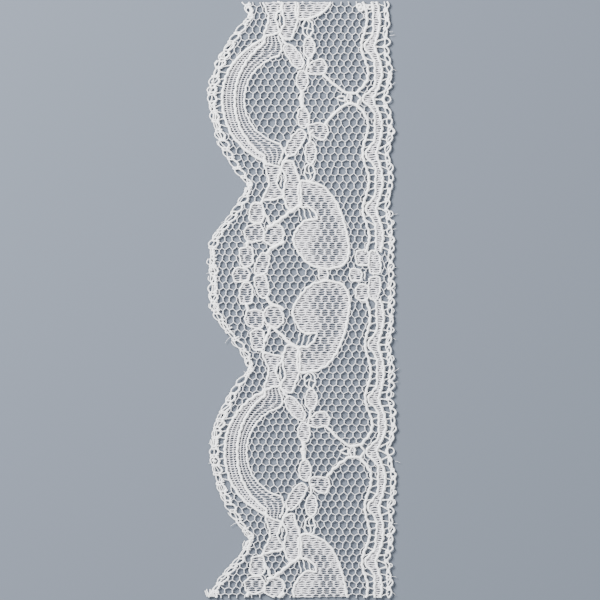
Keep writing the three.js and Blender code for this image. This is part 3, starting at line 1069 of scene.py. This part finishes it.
def yarn_material(name, shade, fibres):
    """Filament yarn: many fine fibres with a slight twist, uneven whiteness and a soft sheen."""
    material = new_material(name, YARN_SHADER)
    nodes = material.node_tree.nodes
    shader = nodes["Principled BSDF"]
    where = nodes.new("ShaderNodeTexCoord")
    patchy = nodes.new("ShaderNodeTexNoise")
    set_inputs(patchy, {"Scale": 350.0, "Detail": 3.0})
    join(where, "Object", patchy, "Vector")
    ramp = nodes.new("ShaderNodeValToRGB")
    # For the net and clothwork yarns this colour holds painted shade, darker than the liner yarn's white.
    for stop, position, share in zip(ramp.color_ramp.elements, (0.3, 0.65), (DULLER, 1.0)):
        stop.position = position
        stop.color = (*[c * share for c in shade], 1)
    join(patchy, "Fac", ramp, "Fac")
    join(ramp, "Color", shader, "Base Color")
    turn = nodes.new("ShaderNodeMapping")
    set_inputs(turn, {"Scale": (fibres, 2.0, 1.0), "Rotation": (0.0, 0.0, 0.25)})
    join(where, "UV", turn, "Vector")
    fibre = nodes.new("ShaderNodeTexWave")
    set_inputs(fibre, {"Scale": 1.0, "Distortion": 1.5, "Detail": 2.0})
    join(turn, "Vector", fibre, "Vector")
    bump = nodes.new("ShaderNodeBump")
    set_inputs(bump, {"Strength": 0.35, "Distance": 0.02 * MM})
    join(fibre, "Fac", bump, "Height")
    join(bump, "Normal", shader, "Normal")
    return material


# --- The lace ---

# Each piece, the sides of its threads, and its yarn.
PIECES = (
    ("net_ground", 5, "net_yarn_painted_shade"),
    ("motif_wefts", 5, "clothwork_yarn_painted_shade"),
    ("crescent_wefts", 5, "clothwork_yarn_painted_shade"),
    ("clothwork_pillars", 4, "clothwork_yarn_painted_shade"),
    ("motif_outlines", 7, "liner_yarn"),
    ("liner_cords", 7, "liner_yarn"),
    ("picot_edge", 6, "liner_yarn"),
    ("heading_chain", 6, "liner_yarn"),
    ("loose_fibres", 4, "net_yarn_painted_shade"),
)


def add_outlines(threads, half):
    """The cords round the motifs of a half repeat."""
    for leaf in own(LEAVES + RINGS, half):
        add_cord(threads, half, leaf_outline(leaf), OUTLINE, closed=True)
    for path in FINE_THREADS:
        add_cord(threads, half, smooth(path), FINE_THREAD)
    for points, width in CORDED_PIECES:
        add_cord(threads, half, drawn(points), width, closed=True)
    inner = arc(CRESCENT_INNER)
    arcs = (arc(CRESCENT_OUTER, OUTER_END), arc(CRESCENT_MIDDLE, MIDDLE_END), inner, [*INNER_END, inner[0]])
    for path, width in zip(arcs, CRESCENT_CORDS):
        add_cord(threads, half, path, width)


def add_liners(threads, half):
    """The liner cords of a half repeat: along the band and across the net."""
    for path, width in zip((band_path(0, LINER_END), band_path(1), band_path(2)), BAND_CORDS):
        add_cord(threads, half, path, width)
    for width, *points in CORDS:
        add_cord(threads, half, smooth(points) if len(points) > 2 else points, width)


def gaps(half):
    """Areas of a half repeat, besides the clothwork, that the net leaves free."""
    found = [leaf_outline(ring) for ring in own(RINGS, half)]
    found += [ellipse(*eye) for eye in EYES]
    found.append(enclosed(band_path(0, LINER_END), band_path(1, LINER_END)))
    strip = band_path(2)
    v = strip[:, 1]
    found.append(enclosed(strip, columns(heading_x(half.line + v), v)))
    v = np.linspace(HALF - NARROWS, HALF, 20)
    scallop = columns(scallop_x(half.line + v), v)
    found.append(enclosed(scallop, columns(crescent_x(v), v)))
    return [placed(outline, half) for outline in found]


def make_lace():
    """All the pieces, the net ground first."""
    threads = {name: Threads(name, sides) for name, sides, _ in PIECES}
    holes = []
    for half in HALVES:
        for patch in patches(half):
            add_wefts(threads["crescent_wefts" if "pillars" in patch else "motif_wefts"], patch)
            add_pillars(threads["clothwork_pillars"], patch)
            holes.append(patch["outlines"][0])
        add_outlines(threads["motif_outlines"], half)
        add_liners(threads["liner_cords"], half)
        holes += gaps(half)
    net = Net(holes)
    add_net(threads["net_ground"], net)
    add_picots(threads["picot_edge"])
    add_heading(threads["heading_chain"])
    add_links(threads["heading_chain"])
    add_hairs(threads["loose_fibres"])

    yarns = {name: yarn_material(name, *look) for name, look in YARNS.items()}
    ground, *others = [threads[name].piece(yarns[yarn]) for name, _, yarn in PIECES]
    net.area() * MM**2
    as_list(others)


# --- Floor, light and camera ---

FLOOR = ((-2, -2, 0), (2, -2, 0), (2, 2, 0), (-2, 2, 0))  # its corners, in metres
CAMERA_PLACE = (-0.33 * MM, 0.0, 0.4)
VIEW = LENGTH * MM * 600 / 597  # the strip is a little shorter than the picture


def make_stage():
    """The plain floor, a square at z = 0."""
    mesh = bpy.data.meshes.new("floor")
    mesh.from_pydata(FLOOR, [], [(0, 1, 2, 3)])
    mesh.materials.append(new_material("floor", FLOOR_SHADER))
    floor = new_object("floor", mesh)
    floor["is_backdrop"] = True


def area_light(name, place, size, power):
    """A square lamp that faces the lace."""
    light = bpy.data.lights.new(name, "AREA")
    light.size = size
    light.energy = power
    lamp = new_object(name, light)
    lamp.location = place
    lamp.rotation_mode = "QUATERNION"
    lamp.rotation_quaternion = (-Vector(place)).to_track_quat("-Z", "Y")


def make_lights():
    """A pale surrounding light, a strong lamp on the left and a weak one on the right."""
    world = bpy.data.worlds.new("studio")
    world.use_nodes = True
    set_inputs(world.node_tree.nodes["Background"], {"Color": (0.95, 0.97, 1.0, 1), "Strength": 0.5})
    bpy.context.scene.world = world
    area_light("key", (-0.35, 0.3, 0.32), 0.22, 14.0)
    area_light("fill", (0.4, -0.2, 0.45), 0.4, 2.5)


def make_camera():
    """The photo's view, straight down."""
    camera = bpy.data.cameras.new("camera")
    camera.type = "ORTHO"
    camera.ortho_scale = VIEW
    camera.clip_start = 0.01
    camera.clip_end = 10.0
    holder = new_object("camera", camera)
    holder.location = CAMERA_PLACE
    bpy.context.scene.camera = holder


make_camera()
make_lights()
make_stage()
make_lace()

boxes = {"cad": CAD_BOX, "visual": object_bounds()}
{name: [list(low), list(high)] for name, (low, high) in boxes.items()}
